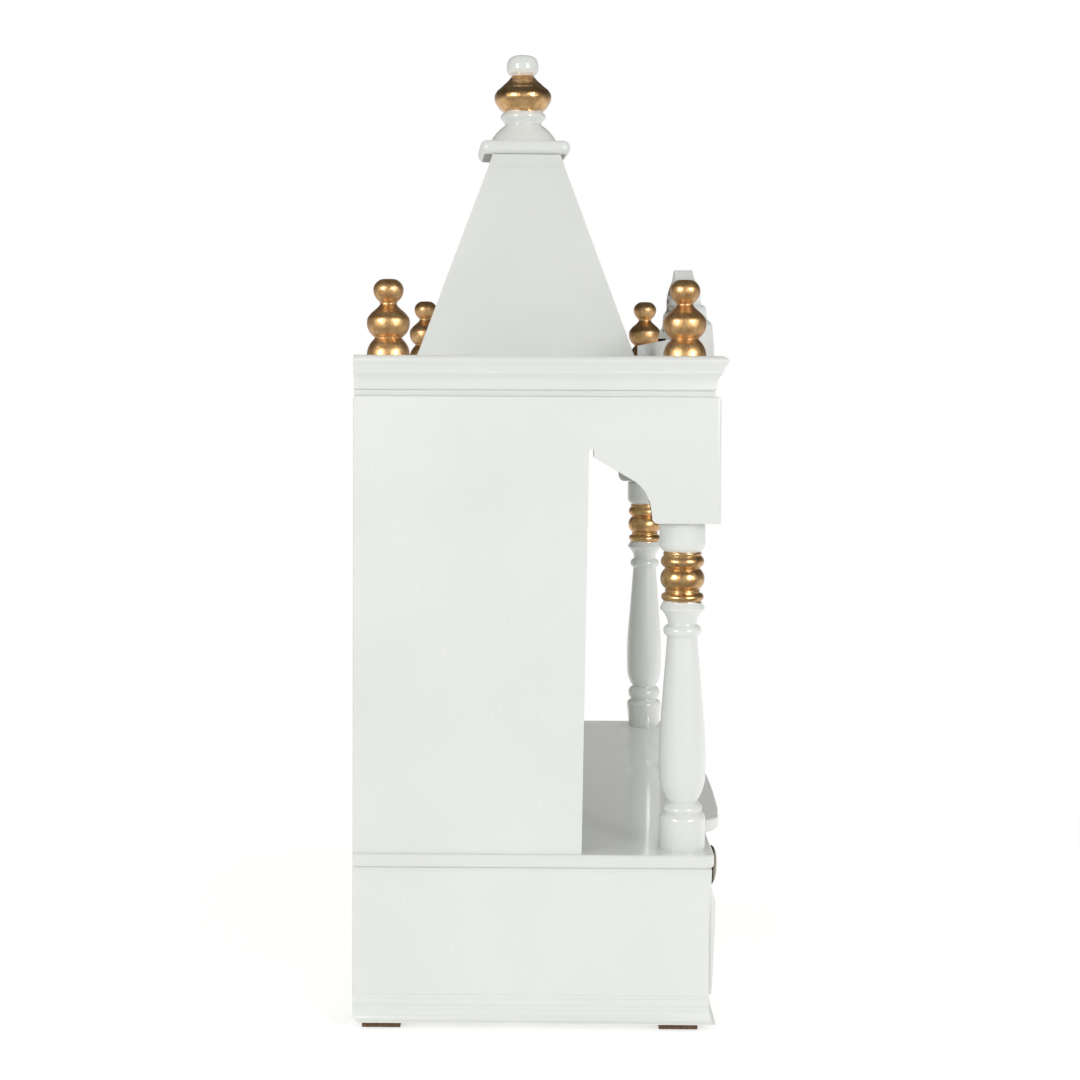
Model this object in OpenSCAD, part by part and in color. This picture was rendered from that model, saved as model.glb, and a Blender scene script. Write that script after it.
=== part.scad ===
// Wall-mounted home shrine of lacquered boards and turned wood, standing on four blocks.
// The front faces -Y, the wall plane is at the back (+Y), and the floor is z = 0.

/* [Case] */
// Width over the two side panels
case_w = 596; // [480:2:720]
// Depth from the wall plane to the front of the side panels
case_d = 293.6; // [280:0.2:330]
// Thickness of the main boards
board_t = 12; // [10:0.5:16]
// Thickness of the back panel
back_t = 6; // [4:0.5:10]
// Width of the base and cornice frames, measured inwards from the case faces
frame_w = 24; // [18:1:32]

/* [Foot blocks] */
// Height of a block
foot_h = 5.5; // [3:0.5:12]
// Side of a block
foot_w = 31; // [24:1:45]
// Distance of the rear blocks from the wall plane
foot_rear_gap = 7.6; // [2:0.2:20]
// Distance of the front blocks from the front of the plinth
foot_front_gap = 11; // [4:1:30]
// Distance of the blocks from the side faces
foot_side_gap = 0.5; // [0:0.5:12]

/* [Plinth] */
// Depth of the plinth from the wall plane
plinth_d = 288; // [280:1:320]
// Height of the plinth boards above the base moulding
plinth_h = 101.5; // [90:0.5:130]
// Height of the base moulding
base_h = 21.6; // [18:0.2:28]
// How far the foot of the skirting stands out of the plinth
base_flare = 5.4; // [3:0.2:8]
// How far the plinth's front edge runs back towards the skirting
base_tuck = 2.2; // [1:0.1:4]
// Height over which the plinth's front edge stays back
base_ease = 50; // [20:1:70]
// Height of the hollow skirting under the drawer front
sill_h = 12.5; // [10:0.5:16]
// Height of the rail over the drawer
rail_h = 14.5; // [10:0.5:24]
// Chamfer on the rear foot of the side skirtings
base_chamfer = 4; // [1:0.5:8]
// How far the half-round shelf edge stands out of the plinth
shelf_nose = 2; // [1:0.5:6]
// Corner radius of the shelf
shelf_corner_r = 8; // [7:0.5:14]
// How far the rounded front projection stands out of the shelf edge
tongue_d = 19.2; // [8:0.2:24]
// Half width of the straight front of the projection
tongue_half_w = 147; // [120:1:190]
// Run of the rounded shoulder beside the projection
tongue_shoulder = 30; // [22:1:45]
// Bow at the middle of the projection
tongue_bow = 2.5; // [1:0.5:5]

/* [Drawer] */
// Clear gap round the drawer
drawer_gap = 5; // [5:0.5:8]
// Running gap under the drawer
drawer_run = 0.3; // [0.2:0.1:1]
// Thickness of the raised drawer front
front_t = 14; // [12:0.5:18]
// How far the raised field stands out of the plinth
front_proud = 4.9; // [1.5:0.1:6]
// Depth of the bevel round the raised field
bevel_depth = 3.6; // [2:0.1:6]
// Width of the bevel round the raised field
bevel_w = 14; // [6:0.5:20]
// How far the top of the raised field leans out and its foot leans in
front_lean = 0.9; // [0:0.1:2]
// Thickness of the drawer sides and back
drawer_side_t = 9; // [6:0.5:12]
// Height of the drawer sides
drawer_side_h = 66; // [50:1:76]
// Thickness of the drawer bottom
drawer_floor_t = 4; // [3:0.5:8]
// Height of the drawer bottom above the lower edge of the sides
drawer_floor_lift = 4; // [2:0.5:10]
// Space behind the drawer
drawer_rear_gap = 12; // [6:1:30]
// Radius of the knob
knob_r = 19.2; // [12:0.2:22]
// How far the knob stands out of the drawer
knob_out = 26.7; // [18:0.1:36]
// Height of the knob's axis above the lower edge of the drawer front
knob_lift = 36; // [24:0.5:50]

/* [Walls] */
// Height of the clear space from the shelf to the apron
column_h = 265.5; // [220:0.5:320]
// Height of the apron above the columns
apron_h = 101; // [90:1:130]
// Depth of the side wall at the shelf
wall_d_low = 183.5; // [150:0.5:186]
// Depth of the side wall at its top
wall_d_high = 188; // [187:0.5:196]
// Width of the slot where the wall meets the apron
slot_w = 3.8; // [2:0.2:6]
// Height of the slot's top above the foot of the apron
slot_top = 59; // [54:0.5:70]
// Height above the foot of the apron where the sloped edge starts
slope_top = 53; // [48:0.5:60]
// Radius of the round shoulder of the apron
shoulder_r = 28; // [20:1:32]
// Distance of the shoulder arc's centre from the wall plane
shoulder_centre_d = 209.4; // [205:0.2:215]
// Height of the shoulder arc's centre above the foot of the apron
shoulder_centre_h = 10.1; // [8:0.1:14]
// Radius of the small flare at the foot of the apron
flare_r = 5; // [3:0.5:6]
// Radius of the rounded front edge of the apron
apron_edge_r = 3; // [1:0.5:5]
// Radius of the apron's upper front corner
apron_top_r = 4.5; // [2:0.5:8]
// Radius of a wall screw hole in the back panel
screw_r = 3; // [2:0.25:5]
// Distance between the two wall screw holes
screw_spacing = 440; // [300:10:480]
// Height of the screw holes below the top of the back panel
screw_drop = 35; // [20:1:60]

/* [Front arch] */
// Half width of the arch opening at its foot
arch_half_w = 232; // [180:2:240]
// Height of the arch's middle lobe above the foot of the apron
arch_rise = 76; // [60:1:84]
// Half width of the middle lobe
arch_mid_half_w = 92; // [70:2:110]
// Height of the cusps beside the middle lobe
arch_mid_h = 50; // [40:1:58]
// Half width out to the lower cusps
arch_low_half_w = 166; // [140:2:180]
// Height of the lower cusps
arch_low_h = 27; // [20:1:36]

/* [Columns] */
// Distance of the column axis from the front of the side panels
column_front_gap = 27.8; // [20:0.1:40]
// Distance of the column axis from the side faces
column_side_gap = 25; // [19:0.5:40]
// Radius of the column's foot and cap
column_r = 18.6; // [14:0.2:24]

/* [Roof] */
// Thickness of the ceiling board
ceiling_t = 5; // [4:0.5:8]
// How far the ceiling board stays behind the case faces
ceiling_tuck = 4.6; // [2:0.2:8]
// Height of the cornice
cornice_h = 28; // [22:0.5:36]
// How far the cornice stands out of the case faces
cornice_out = 5.4; // [4:0.2:12]

/* [Spire] */
// Side of the spire at its foot
spire_w = 195.5; // [150:0.5:210]
// Side of the spire at its top
spire_top_w = 63; // [50:0.5:80]
// Height of the spire
spire_h = 187; // [140:1:240]
// Thickness of a spire panel
spire_t = 6; // [4:0.5:10]
// Gap between the batten of the crest and the foot of the spire
spire_front_gap = 20.05; // [8:0.05:30]
// How far the cap slab and the kalash stand behind the spire's axis
cap_setback = 3.2; // [0:0.1:6]
// Side of the cap slab
cap_w = 83.5; // [70:0.5:100]
// Thickness of the cap slab
cap_t = 13.5; // [10:0.5:18]
// Turn of the cap slab on the spire
cap_turn = 3.2; // [0:0.1:5]
// Height of the kalash
kalash_h = 83.7; // [70:0.1:110]
// Radius of the kalash's foot
kalash_foot_r = 32; // [26:0.5:36]
// Lean of the kalash towards the wall
kalash_lean = 0.8; // [0:0.1:4]

/* [Finials and crest] */
// Height of a finial
finial_h = 61.2; // [50:0.2:80]
// Radius of a finial's foot
finial_r = 17.4; // [14:0.2:20]
// Distance of the finial axes from the side faces
finial_side_gap = 18.5; // [18:0.5:26]
// Distance of the front finial axes from the front of the side panels
finial_front_gap = 28.4; // [24:0.1:34]
// Distance of the rear finial axes from the wall plane
finial_rear_gap = 26.5; // [22:0.5:30]
// Thickness of the crest board
crest_t = 17.5; // [10:0.5:20]
// Half length of the crest board
crest_half_w = 231; // [200:1:250]
// Height of the crest at its middle
crest_h = 82.5; // [60:0.5:100]
// Height of the outer lobes of the crest
crest_lobe_h = 27; // [18:1:34]
// Height of the crest's shoulders
crest_step_h = 44; // [36:1:52]
// Width of the batten behind the crest
batten_w = 21.6; // [12:0.2:24]
// Height of the batten
batten_h = 13.5; // [8:0.5:20]
// Half length of the batten
batten_half_w = 230; // [180:1:250]

/* [Hidden] */
$fn = 96;

half_w = case_w / 2;
inner_half_w = half_w - board_t;
frame_half_w = half_w - frame_w;
// The wall plane lies half of the overall depth behind the origin.
back_y = (plinth_d + front_proud + knob_out) / 2;

z_base = foot_h;
z_plinth = z_base + base_h;
z_shelf = z_plinth + plinth_h;
z_floor = z_shelf + board_t;
z_apron = z_floor + column_h;
z_ceiling = z_apron + apron_h;
z_cornice = z_ceiling + ceiling_t;
z_roof = z_cornice + cornice_h;
z_cap = z_roof + spire_h;
z_kalash = z_cap + cap_t;

// The spire's foot stands behind the batten, and the cap slab and kalash follow its axis.
spire_d = case_d - crest_t - batten_w - spire_front_gap - spire_w / 2;
cap_d = spire_d - cap_setback;

front_half_w = inner_half_w - drawer_gap;
front_low = z_base + sill_h + drawer_gap;
front_high = z_shelf - rail_h - drawer_gap;
front_back_d = plinth_d + front_proud - front_t;
drawer_low = z_plinth + drawer_run;
drawer_back_d = board_t + drawer_rear_gap;

white = [0.93, 0.93, 0.92];
gold = [0.72, 0.50, 0.24];
raw_board = [0.45, 0.32, 0.24];
dark_metal = [0.16, 0.15, 0.13];

// Y of a point that lies d in front of the wall plane.
function at(d) = back_y - d;

// Arc from p towards q that bulges by rise to the left of the way from p to q, without q.
function arc_to(p, q, rise, steps = 8) =
    abs(rise) < 0.01 ? [p] :
    let (chord = norm(q - p), side = [p[1] - q[1], q[0] - p[0]] / chord,
        r = (chord * chord / 4 + rise * rise) / (2 * rise),
        centre = (p + q) / 2 + side * (rise - r),
        a = atan2(p[1] - centre[1], p[0] - centre[0]),
        sweep = 2 * atan2(2 * rise, chord) * 2)
    [for (i = [0 : steps - 1])
        centre + abs(r) * [cos(a - sweep * i / steps), sin(a - sweep * i / steps)]];

// Outline through [x, y, rise] rows, where rise bulges the stretch to the next row.
function arcs(rows) = [for (i = [0 : len(rows) - 1])
    let (p = [rows[i][0], rows[i][1]], last = i == len(rows) - 1)
    each last ? [p] : arc_to(p, [rows[i + 1][0], rows[i + 1][1]], rows[i][2])];

function mirrored(points) = [for (i = [len(points) - 1 : -1 : 0]) [-points[i][0], points[i][1]]];

// Outline moved inwards by d; the points run counter-clockwise.
function inset(points, d) = let (n = len(points)) [for (i = [0 : n - 1])
    let (p = points[i], u = p - points[(i + n - 1) % n], v = points[(i + 1) % n] - p,
        a = [-u[1], u[0]] / norm(u), b = [-v[1], v[0]] / norm(v))
    p + d * (a + b) / (1 + a * b)];

// Flat board of the given outline with a half-round edge.
module nosed_board(points, t, steps = 8) {
    n = len(points);
    rings = [for (k = [0 : steps]) let (a = -90 + 180 * k / steps)
        [for (p = inset(points, t / 2 * (1 - cos(a)))) [p[0], p[1], t / 2 * (1 + sin(a))]]];
    polyhedron(
        points = [for (ring = rings) each ring],
        faces = concat(
            [[for (i = [0 : n - 1]) i]],
            [for (k = [0 : steps - 1]) for (i = [0 : n - 1]) let (j = (i + 1) % n)
                [k * n + i, (k + 1) * n + i, (k + 1) * n + j, k * n + j]],
            [[for (i = [n - 1 : -1 : 0]) steps * n + i]]),
        convexity = 4);
}

// Box from depth d0 to d1 in front of the wall plane.
module board(x0, x1, d0, d1, z0, z1) {
    translate([x0, at(d1), z0]) cube([x1 - x0, d1 - d0, z1 - z0]);
}

// Outline in [x, z] made into a board of thickness t whose back lies at depth d.
module upright(points, d, t) {
    translate([0, at(d), 0]) rotate([90, 0, 0]) linear_extrude(t) polygon(points);
}

// Outline in [depth, z] made into a board from x0 to x1.
module sideways(points, x0, x1) {
    translate([x0, back_y, 0]) rotate([90, 0, 90]) linear_extrude(x1 - x0)
        polygon([for (p = points) [-p[0], p[1]]]);
}

// Plan of one mitred frame side: side is 0 for the front, -1 for the left, 1 for the right.
module frame_plan(side, d, reach) {
    outer = half_w + reach;
    front = [[-outer, at(d + reach)], [outer, at(d + reach)],
        [outer - d, at(reach)], [d - outer, at(reach)]];
    flank = [[outer, at(d + reach)], [outer, back_y], [outer - d, back_y], [outer - d, at(reach)]];
    if (side == 0) polygon(front);
    else polygon([for (p = flank) [side * p[0], p[1]]]);
}

// Moulding with the profile [out, z] from the case face, mitred at the front corners.
module moulding(profile, side, d, z, h, reach) {
    intersection() {
        translate([0, 0, z - 1]) linear_extrude(h + 2) frame_plan(side, d, reach);
        translate([0, 0, z]) {
            if (side == 0) translate([-half_w - reach, at(d), 0]) rotate([90, 0, 90])
                linear_extrude(case_w + 2 * reach) polygon([for (p = profile) [-p[0], p[1]]]);
            else translate([side * half_w, back_y, 0]) rotate([90, 0, 0])
                linear_extrude(d + reach) polygon([for (p = profile) [side * p[0], p[1]]]);
        }
    }
}

module turned(profile) {
    rotate_extrude() polygon(profile);
}

module foot(side, d) {
    x = half_w - foot_side_gap - foot_w / 2;
    color(raw_board) board(side * x - foot_w / 2, side * x + foot_w / 2, d, d + foot_w, 0, foot_h);
}

module base_moulding(side) {
    h = base_h;
    o = base_flare;
    d = plinth_d - base_tuck;
    c = base_chamfer;
    profile = arcs([[-frame_w, 0, 0], [o, 0, 0], [o, 0.7, 0], [o * 0.55, 1.8, 1],
        side == 0 ? [-3, sill_h + 1.5, 0] : [0.4, sill_h + 1.5, 0], [0, sill_h + 4, 0],
        [0, h, 0], [-frame_w, h, 0]]);
    color(white) difference() {
        moulding(profile, side, d, z_base, h, o);
        if (side == 0) board(-inner_half_w, inner_half_w, d - frame_w / 2, d + o + 1,
            z_base + sill_h, z_plinth + 1);
        else sideways([[-1, z_base - 1], [c * 1.5, z_base - 1], [c * 1.5, z_base],
            [0, z_base + c * 0.7], [-1, z_base + c * 0.7]],
            side > 0 ? frame_half_w - 1 : -half_w - o - 1, side > 0 ? half_w + o + 1 : 1 - frame_half_w);
    }
}

module plinth_bottom() {
    color(white) board(-frame_half_w, frame_half_w, 0, plinth_d - base_tuck - frame_w,
        z_plinth - board_t, z_plinth);
}

module plinth_side(side) {
    x = side > 0 ? inner_half_w : -half_w;
    color(white) sideways([[0, z_plinth], [plinth_d - base_tuck, z_plinth],
        [plinth_d - base_tuck, z_plinth + base_ease], [plinth_d, z_shelf], [0, z_shelf]],
        x, x + board_t);
}

module plinth_back() {
    color(white) board(-inner_half_w, inner_half_w, 0, board_t, z_plinth, z_shelf);
}

module plinth_top_rail() {
    color(white) board(-inner_half_w, inner_half_w, plinth_d - board_t, plinth_d,
        z_shelf - rail_h, z_shelf);
}

module plinth_top() {
    x = half_w + shelf_nose;
    d = plinth_d + shelf_nose;
    r = shelf_corner_r;
    half = arcs([[0, d + tongue_d + tongue_bow, tongue_bow / 4],
        [tongue_half_w - 26, d + tongue_d, 0.4], [tongue_half_w, d + tongue_d - 2.4, tongue_d * 0.3],
        [tongue_half_w + tongue_shoulder, d, 0], [x - r, d, r * (1 - cos(45))],
        [x, d - r, 0], [x, -board_t, 0]]);
    outline = concat([for (p = half) [p[0], -p[1]]], [for (i = [len(half) - 1 : -1 : 1])
        [-half[i][0], -half[i][1]]]);
    color(white) intersection() {
        translate([0, back_y, z_shelf]) nosed_board(outline, board_t);
        board(-case_w, case_w, 0, case_d * 2, z_shelf - 1, z_floor + 1);
    }
}

module drawer_front() {
    x = front_half_w - bevel_w;
    face = plinth_d + front_proud;
    color(white) hull() {
        board(-front_half_w, front_half_w, front_back_d, face - bevel_depth, front_low, front_high);
        board(-x, x, front_back_d, face - front_lean, front_low + bevel_w, front_low + bevel_w + 0.5);
        board(-x, x, front_back_d, face + front_lean, front_high - bevel_w - 0.5, front_high - bevel_w);
    }
}

module drawer_side(side) {
    x = side > 0 ? front_half_w - drawer_side_t : -front_half_w;
    color(white) board(x, x + drawer_side_t, drawer_back_d, front_back_d,
        drawer_low, drawer_low + drawer_side_h);
}

module drawer_back() {
    x = front_half_w - drawer_side_t;
    color(white) board(-x, x, drawer_back_d, drawer_back_d + drawer_side_t,
        drawer_low, drawer_low + drawer_side_h);
}

module drawer_bottom() {
    x = front_half_w - drawer_side_t;
    low = drawer_low + drawer_floor_lift;
    color(white) board(-x, x, drawer_back_d + drawer_side_t, front_back_d,
        low, low + drawer_floor_t);
}

module drawer_knob() {
    r = knob_r;
    l = knob_out;
    profile = arcs([[0, 0, 0], [r * 0.55, 0, 0], [r * 0.55, l * 0.06, 0],
        [r * 0.38, l * 0.16, 0.8], [r * 0.40, l * 0.45, 1.2], [r * 0.94, l * 0.66, -0.8],
        [r, l * 0.76, -0.7], [r * 0.88, l * 0.9, -0.6], [r * 0.4, l * 0.98, -0.1], [0, l, 0]]);
    color(dark_metal) translate([0, at(plinth_d + front_proud), front_low + knob_lift])
        rotate([90, 0, 0]) turned(profile);
}

module side_panel(side) {
    c = [shoulder_centre_d, shoulder_centre_h];
    foot_d = c[0] + shoulder_r * cos(10) + 1.6 + flare_r;
    edge = concat(
        [[wall_d_low, -column_h], [wall_d_high, slot_top], [wall_d_high + slot_w, slot_top],
            [wall_d_high + slot_w, slope_top]],
        [for (i = [0 : 12]) c + shoulder_r * [cos(58 - 4 * i), sin(58 - 4 * i)]],
        [for (i = [0 : 6]) [foot_d, flare_r] + flare_r * [cos(180 + 15 * i), sin(180 + 15 * i)]],
        [[case_d, 0]],
        [for (i = [0 : 8]) [case_d, apron_h] + apron_top_r
            * [cos(11.25 * i) - 1, sin(11.25 * i) - 1]]);
    outline = concat([[0, -column_h]], edge, [[0, apron_h]]);
    x = side > 0 ? inner_half_w : -half_w;
    color(white) intersection() {
        translate([0, 0, z_apron]) sideways(outline, x, x + board_t);
        translate([side * half_w, at(case_d), z_floor - 1]) linear_extrude(z_ceiling)
            polygon(concat([for (i = [0 : 6]) apron_edge_r
                * [-side * (1 - sin(15 * i)), 1 - cos(15 * i)]],
                [[0, case_d], [-side * board_t, case_d], [-side * board_t, 0]]));
    }
}

module back_panel() {
    color(white) difference() {
        board(-inner_half_w, inner_half_w, 0, back_t, z_floor, z_ceiling);
        for (side = [-1, 1]) translate([side * screw_spacing / 2, at(-1), z_ceiling - screw_drop])
            rotate([90, 0, 0]) cylinder(r = screw_r, h = back_t + 2);
    }
}

module front_arch() {
    half = arcs([[0, arch_rise, 9], [arch_mid_half_w, arch_mid_h, 9],
        [arch_low_half_w, arch_low_h, 9], [arch_half_w, 0, 0]]);
    under = concat(mirrored(half), [for (i = [1 : len(half) - 1]) half[i]]);
    color(white) translate([0, 0, z_apron]) upright(concat([[-inner_half_w, apron_h],
        [-inner_half_w, 0]], under, [[inner_half_w, 0], [inner_half_w, apron_h]]),
        case_d - board_t, board_t);
}

module column(side) {
    r = column_r;
    s = column_h / 265.5;
    // Rows of [radius, height, bulge] from the foot to the cap.
    rows = [[r - 0.4, 0, 0], [r - 0.2, 22.5, -1.7], [14.6, 29.6, 0], [14.7, 30.4, -0.9],
        [15.6, 34.4, -0.5], [11.4, 38.2, 0], [11.7, 38.6, -1], [18.4, 55.6, -0.6],
        [18.3, 96.5, 0], [12.3, 172.2, 0], [12.3, 172.6, -3.5], [11.8, 182, 0],
        [11.7, 184.2, 1], [17.9, 194.6, -0.3], [17.9, 196.2, 0], [15.4, 200.9, 0],
        [15, 201.4, -3], [13.6, 208, 0], [13.8, 208.6, -0.5], [13.6, 210.6, 0],
        [13.6, 211, -4.2], [14, 227.6, 0], [14, 228.4, -3.2], [15, 238, 0],
        [15.1, 238.4, -0.7], [14.6, 241.4, 0], [15.1, 241.8, -1.4], [r, 249.5, 0],
        [r, 264, -0.3], [r - 1.2, 265.5, 0], [0, 265.5, 0]];
    profile = concat([[0, 0]], arcs([for (p = rows) [p[0], p[1] * s, p[2]]]));
    color(white) translate([side * (half_w - column_side_gap), at(case_d - column_front_gap),
        z_floor]) turned(profile);
}

module ceiling_board() {
    x = half_w - ceiling_tuck;
    color(white) board(-x, x, 0, case_d - ceiling_tuck, z_ceiling, z_cornice);
}

module roof_board() {
    color(white) board(-frame_half_w, frame_half_w, board_t, case_d - frame_w,
        z_roof - board_t, z_roof);
}

module roof_back_rail() {
    color(white) board(-frame_half_w, frame_half_w, 0, board_t, z_cornice, z_roof);
}

module cornice(side) {
    h = cornice_h;
    o = cornice_out;
    profile = arcs([[-frame_w, 0, 0], [-ceiling_tuck, 0, -0.4], [-3.6, h * 0.09, 0],
        [-3.2, h * 0.27, 0.5], [-0.5, h * 0.44, 0], [-0.1, h * 0.46, -0.4], [1, h * 0.56, 0],
        [1.3, h * 0.58, 0.3], [o * 0.9, h * 0.8, -0.7], [o * 0.8, h * 0.92, -0.8],
        [-1.6, h * 0.99, 0], [-5.3, h, 0], [-frame_w, h, 0]]);
    color(white) moulding(profile, side, case_d, z_cornice, h, o);
}

module spire_panel(turn) {
    a = spire_w / 2;
    b = spire_top_w / 2;
    color(white) translate([0, at(spire_d), z_roof]) rotate([0, 0, turn]) polyhedron(
        points = [[-a, -a, 0], [a, -a, 0], [a - spire_t, spire_t - a, 0],
            [spire_t - a, spire_t - a, 0], [-b, -b, spire_h], [b, -b, spire_h],
            [b - spire_t, spire_t - b, spire_h], [spire_t - b, spire_t - b, spire_h]],
        faces = [[0, 1, 2, 3], [7, 6, 5, 4], [4, 5, 1, 0], [6, 7, 3, 2], [5, 6, 2, 1],
            [7, 4, 0, 3]]);
}

module spire_cap() {
    a = cap_w / 2;
    color(white) translate([0, at(cap_d), z_cap]) rotate([0, 0, cap_turn])
        nosed_board([[-a, -a], [a, -a], [a, a], [-a, a]], cap_t);
}

module kalash() {
    r = kalash_foot_r;
    s = kalash_h / 83.7;
    // Rows of [radius, height, bulge] from the foot to the top.
    rows = [[r, -2, 0], [r, 0.6, -1.8], [16.7, 18, 0], [16.9, 18.8, 0.6], [21.8, 24.4, -0.7],
        [18.6, 29.6, 0], [17.7, 30.3, -0.9], [23.6, 36, -0.4], [26.6, 41.6, -0.3],
        [26.8, 45, -0.4], [25.6, 48.3, -0.6], [21.4, 52.8, 0], [16.7, 57.4, 0.3],
        [12.5, 61.6, 0.2], [10.1, 64.4, 0], [10.1, 64.9, -0.8], [14.3, 67.8, -0.4],
        [14.9, 73, -0.4], [13.8, 78.4, -0.4], [11.3, 81.5, -0.4], [6, 83.4, 0], [0, 83.7, 0]];
    profile = concat([[0, -2]], arcs([for (p = rows) [p[0], p[1] * s, p[2]]]));
    color(gold) translate([0, at(cap_d), z_kalash]) difference() {
        rotate([-kalash_lean, 0, 0]) turned(profile);
        translate([-r * 2, -r * 2, -10]) cube([r * 4, r * 4, 10]);
    }
}

module finial(side, d) {
    r = finial_r;
    s = finial_h / 61.2;
    rows = [[r, 0, 0], [r - 0.3, 3.2, -1], [11.2, 13, 0.2], [11.1, 14.2, -2], [17.3, 26.6, -0.7],
        [15.2, 31.9, -0.3], [11.3, 35.8, 0], [7.9, 39, 0.4], [6.6, 41.3, 0.3], [7.6, 43, -1],
        [12.2, 51.6, -0.5], [11, 56.6, -0.3], [8.6, 59.2, -0.3], [5.6, 61, 0], [0, 61.2, 0]];
    profile = concat([[0, 0]], arcs([for (p = rows) [p[0], p[1] * s, p[2]]]));
    color(gold) translate([side * (half_w - finial_side_gap), at(d), z_roof]) turned(profile);
}

module crest() {
    w = crest_half_w;
    half = arcs([[0, crest_h, 0.2], [12, crest_h - 4.5, 0], [25, crest_h - 9, 0],
        [37, crest_h - 11.5, 0], [57, crest_h - 14, 0], [80, crest_h - 18.5, 0],
        [94, crest_h - 22.8, 0.3], [98, crest_h - 26.5, 0], [98.5, crest_step_h + 4.8, 0],
        [104, crest_step_h + 2.7, 0.3], [143, crest_step_h, 1.2], [155, crest_lobe_h + 9.6, 0],
        [161, crest_lobe_h + 6, -0.5], [180, crest_lobe_h + 3.8, 0.4], [208, crest_lobe_h - 0.2, 0.8],
        [219, crest_lobe_h - 9, 0.5], [w - 2, 5, 0], [w, 0, 0]]);
    color(white) translate([0, 0, z_roof]) upright(concat(mirrored(half),
        [for (i = [1 : len(half) - 1]) half[i]]), case_d - crest_t, crest_t);
}

module crest_batten() {
    d = case_d - crest_t;
    color(white) board(-batten_half_w, batten_half_w, d - batten_w, d, z_roof, z_roof + batten_h);
}

front_foot_d = plinth_d - foot_front_gap - foot_w;
front_finial_d = case_d - finial_front_gap;

foot(-1, foot_rear_gap);  // foot_rear_left
foot(1, foot_rear_gap);  // foot_rear_right
foot(-1, front_foot_d);  // foot_front_left
foot(1, front_foot_d);  // foot_front_right
base_moulding(0);  // base_moulding_front
base_moulding(-1);  // base_moulding_left
base_moulding(1);  // base_moulding_right
plinth_bottom();
plinth_side(-1);  // plinth_left_side
plinth_side(1);  // plinth_right_side
plinth_back();
plinth_top_rail();
plinth_top();
drawer_front();
drawer_side(-1);  // drawer_left_side
drawer_side(1);  // drawer_right_side
drawer_back();
drawer_bottom();
drawer_knob();
side_panel(-1);  // left_side_panel
side_panel(1);  // right_side_panel
back_panel();
front_arch();
column(-1);  // left_column
column(1);  // right_column
ceiling_board();
roof_board();
roof_back_rail();
cornice(0);  // cornice_front
cornice(-1);  // cornice_left
cornice(1);  // cornice_right
spire_panel(0);  // spire_front
spire_panel(180);  // spire_back
spire_panel(-90);  // spire_left
spire_panel(90);  // spire_right
spire_cap();
kalash();
finial(-1, finial_rear_gap);  // finial_rear_left
finial(1, finial_rear_gap);  // finial_rear_right
finial(-1, front_finial_d);  // finial_front_left
finial(1, front_finial_d);  // finial_front_right
crest();
crest_batten();
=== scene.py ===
import math

import bmesh
import bpy
from mathutils import Matrix, Vector


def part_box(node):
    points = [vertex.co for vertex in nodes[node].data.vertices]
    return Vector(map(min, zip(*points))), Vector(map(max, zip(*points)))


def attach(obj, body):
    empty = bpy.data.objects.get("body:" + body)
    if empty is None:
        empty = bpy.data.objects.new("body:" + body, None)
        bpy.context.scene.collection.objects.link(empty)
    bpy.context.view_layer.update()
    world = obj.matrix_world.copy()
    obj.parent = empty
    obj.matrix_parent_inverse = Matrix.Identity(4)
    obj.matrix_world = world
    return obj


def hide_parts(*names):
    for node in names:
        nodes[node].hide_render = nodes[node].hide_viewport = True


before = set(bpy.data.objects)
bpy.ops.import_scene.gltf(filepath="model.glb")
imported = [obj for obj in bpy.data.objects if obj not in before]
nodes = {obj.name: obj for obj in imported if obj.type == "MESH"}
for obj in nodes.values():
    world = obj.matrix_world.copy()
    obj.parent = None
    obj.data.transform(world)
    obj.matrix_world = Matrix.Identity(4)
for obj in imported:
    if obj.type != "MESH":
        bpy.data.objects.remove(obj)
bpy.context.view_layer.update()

scene = bpy.context.scene
mm = 0.001
print("shrine: frame loaded,", len(nodes), "parts")

cameraValues = {
    "place": (-1.8672, 0.0180, 0.5320),
    "heading": 0.673,  # degrees from +X towards +Y
    "dip": 1.31,
    "roll": 0.202,
    "lens": 65.67,
    "shift": (0.0296, -0.12),
}

stageValues = {
    "floorRadius": 4.0,
    "shadowReach": (0.35, 0.8),  # the shadow fades to plain white between these distances
    "floorLift": 0.6,  # glow that keeps the paper near white under its shadow
    "paper": "#BEBEBC",
    "roomFloor": 0.3,  # the floor of the room past the paper, as metal and gloss see it
    "paperEnd": (-0.5, -0.05),  # the paper runs out between these places along X
    "ambientLow": 0.50,  # light from the sides of the room
    "ambientHigh": 0.84,  # light from the ceiling
    "mirrorLow": 0.85,  # what metal and gloss see at eye level, and overhead
    "mirrorHigh": 0.08,
    "mirrorSides": 0.35,  # share of that left towards the dark ends of the room
    "mirrorRoom": 0.6,  # and towards the camera's side
    "lampAim": (0, 0, 0.45),
}

lampValues = {  # place, width, height, watts
    "softboxRear": ((-1.85, 1.40, 1.02), 0.46, 0.50, 9.0),
    "softboxFront": ((-1.85, -1.40, 1.02), 0.46, 0.50, 9.0),
    "glintRear": ((-1.84, 1.39, 1.02), 0.46, 0.50, 28.0),
    "glintFront": ((-1.84, -1.39, 1.02), 0.46, 0.50, 28.0),
    "frontFill": ((0.2, -2.4, 1.2), 1.4, 1.0, 6.0),
}


def linear(hexColour):
    # sRGB hex to the linear values that sockets hold
    channels = [int(hexColour[i:i + 2], 16) / 255 for i in (1, 3, 5)]
    return tuple(c / 12.92 if c <= 0.04045 else ((c + 0.055) / 1.055) ** 2.4 for c in channels) + (1,)


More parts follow.
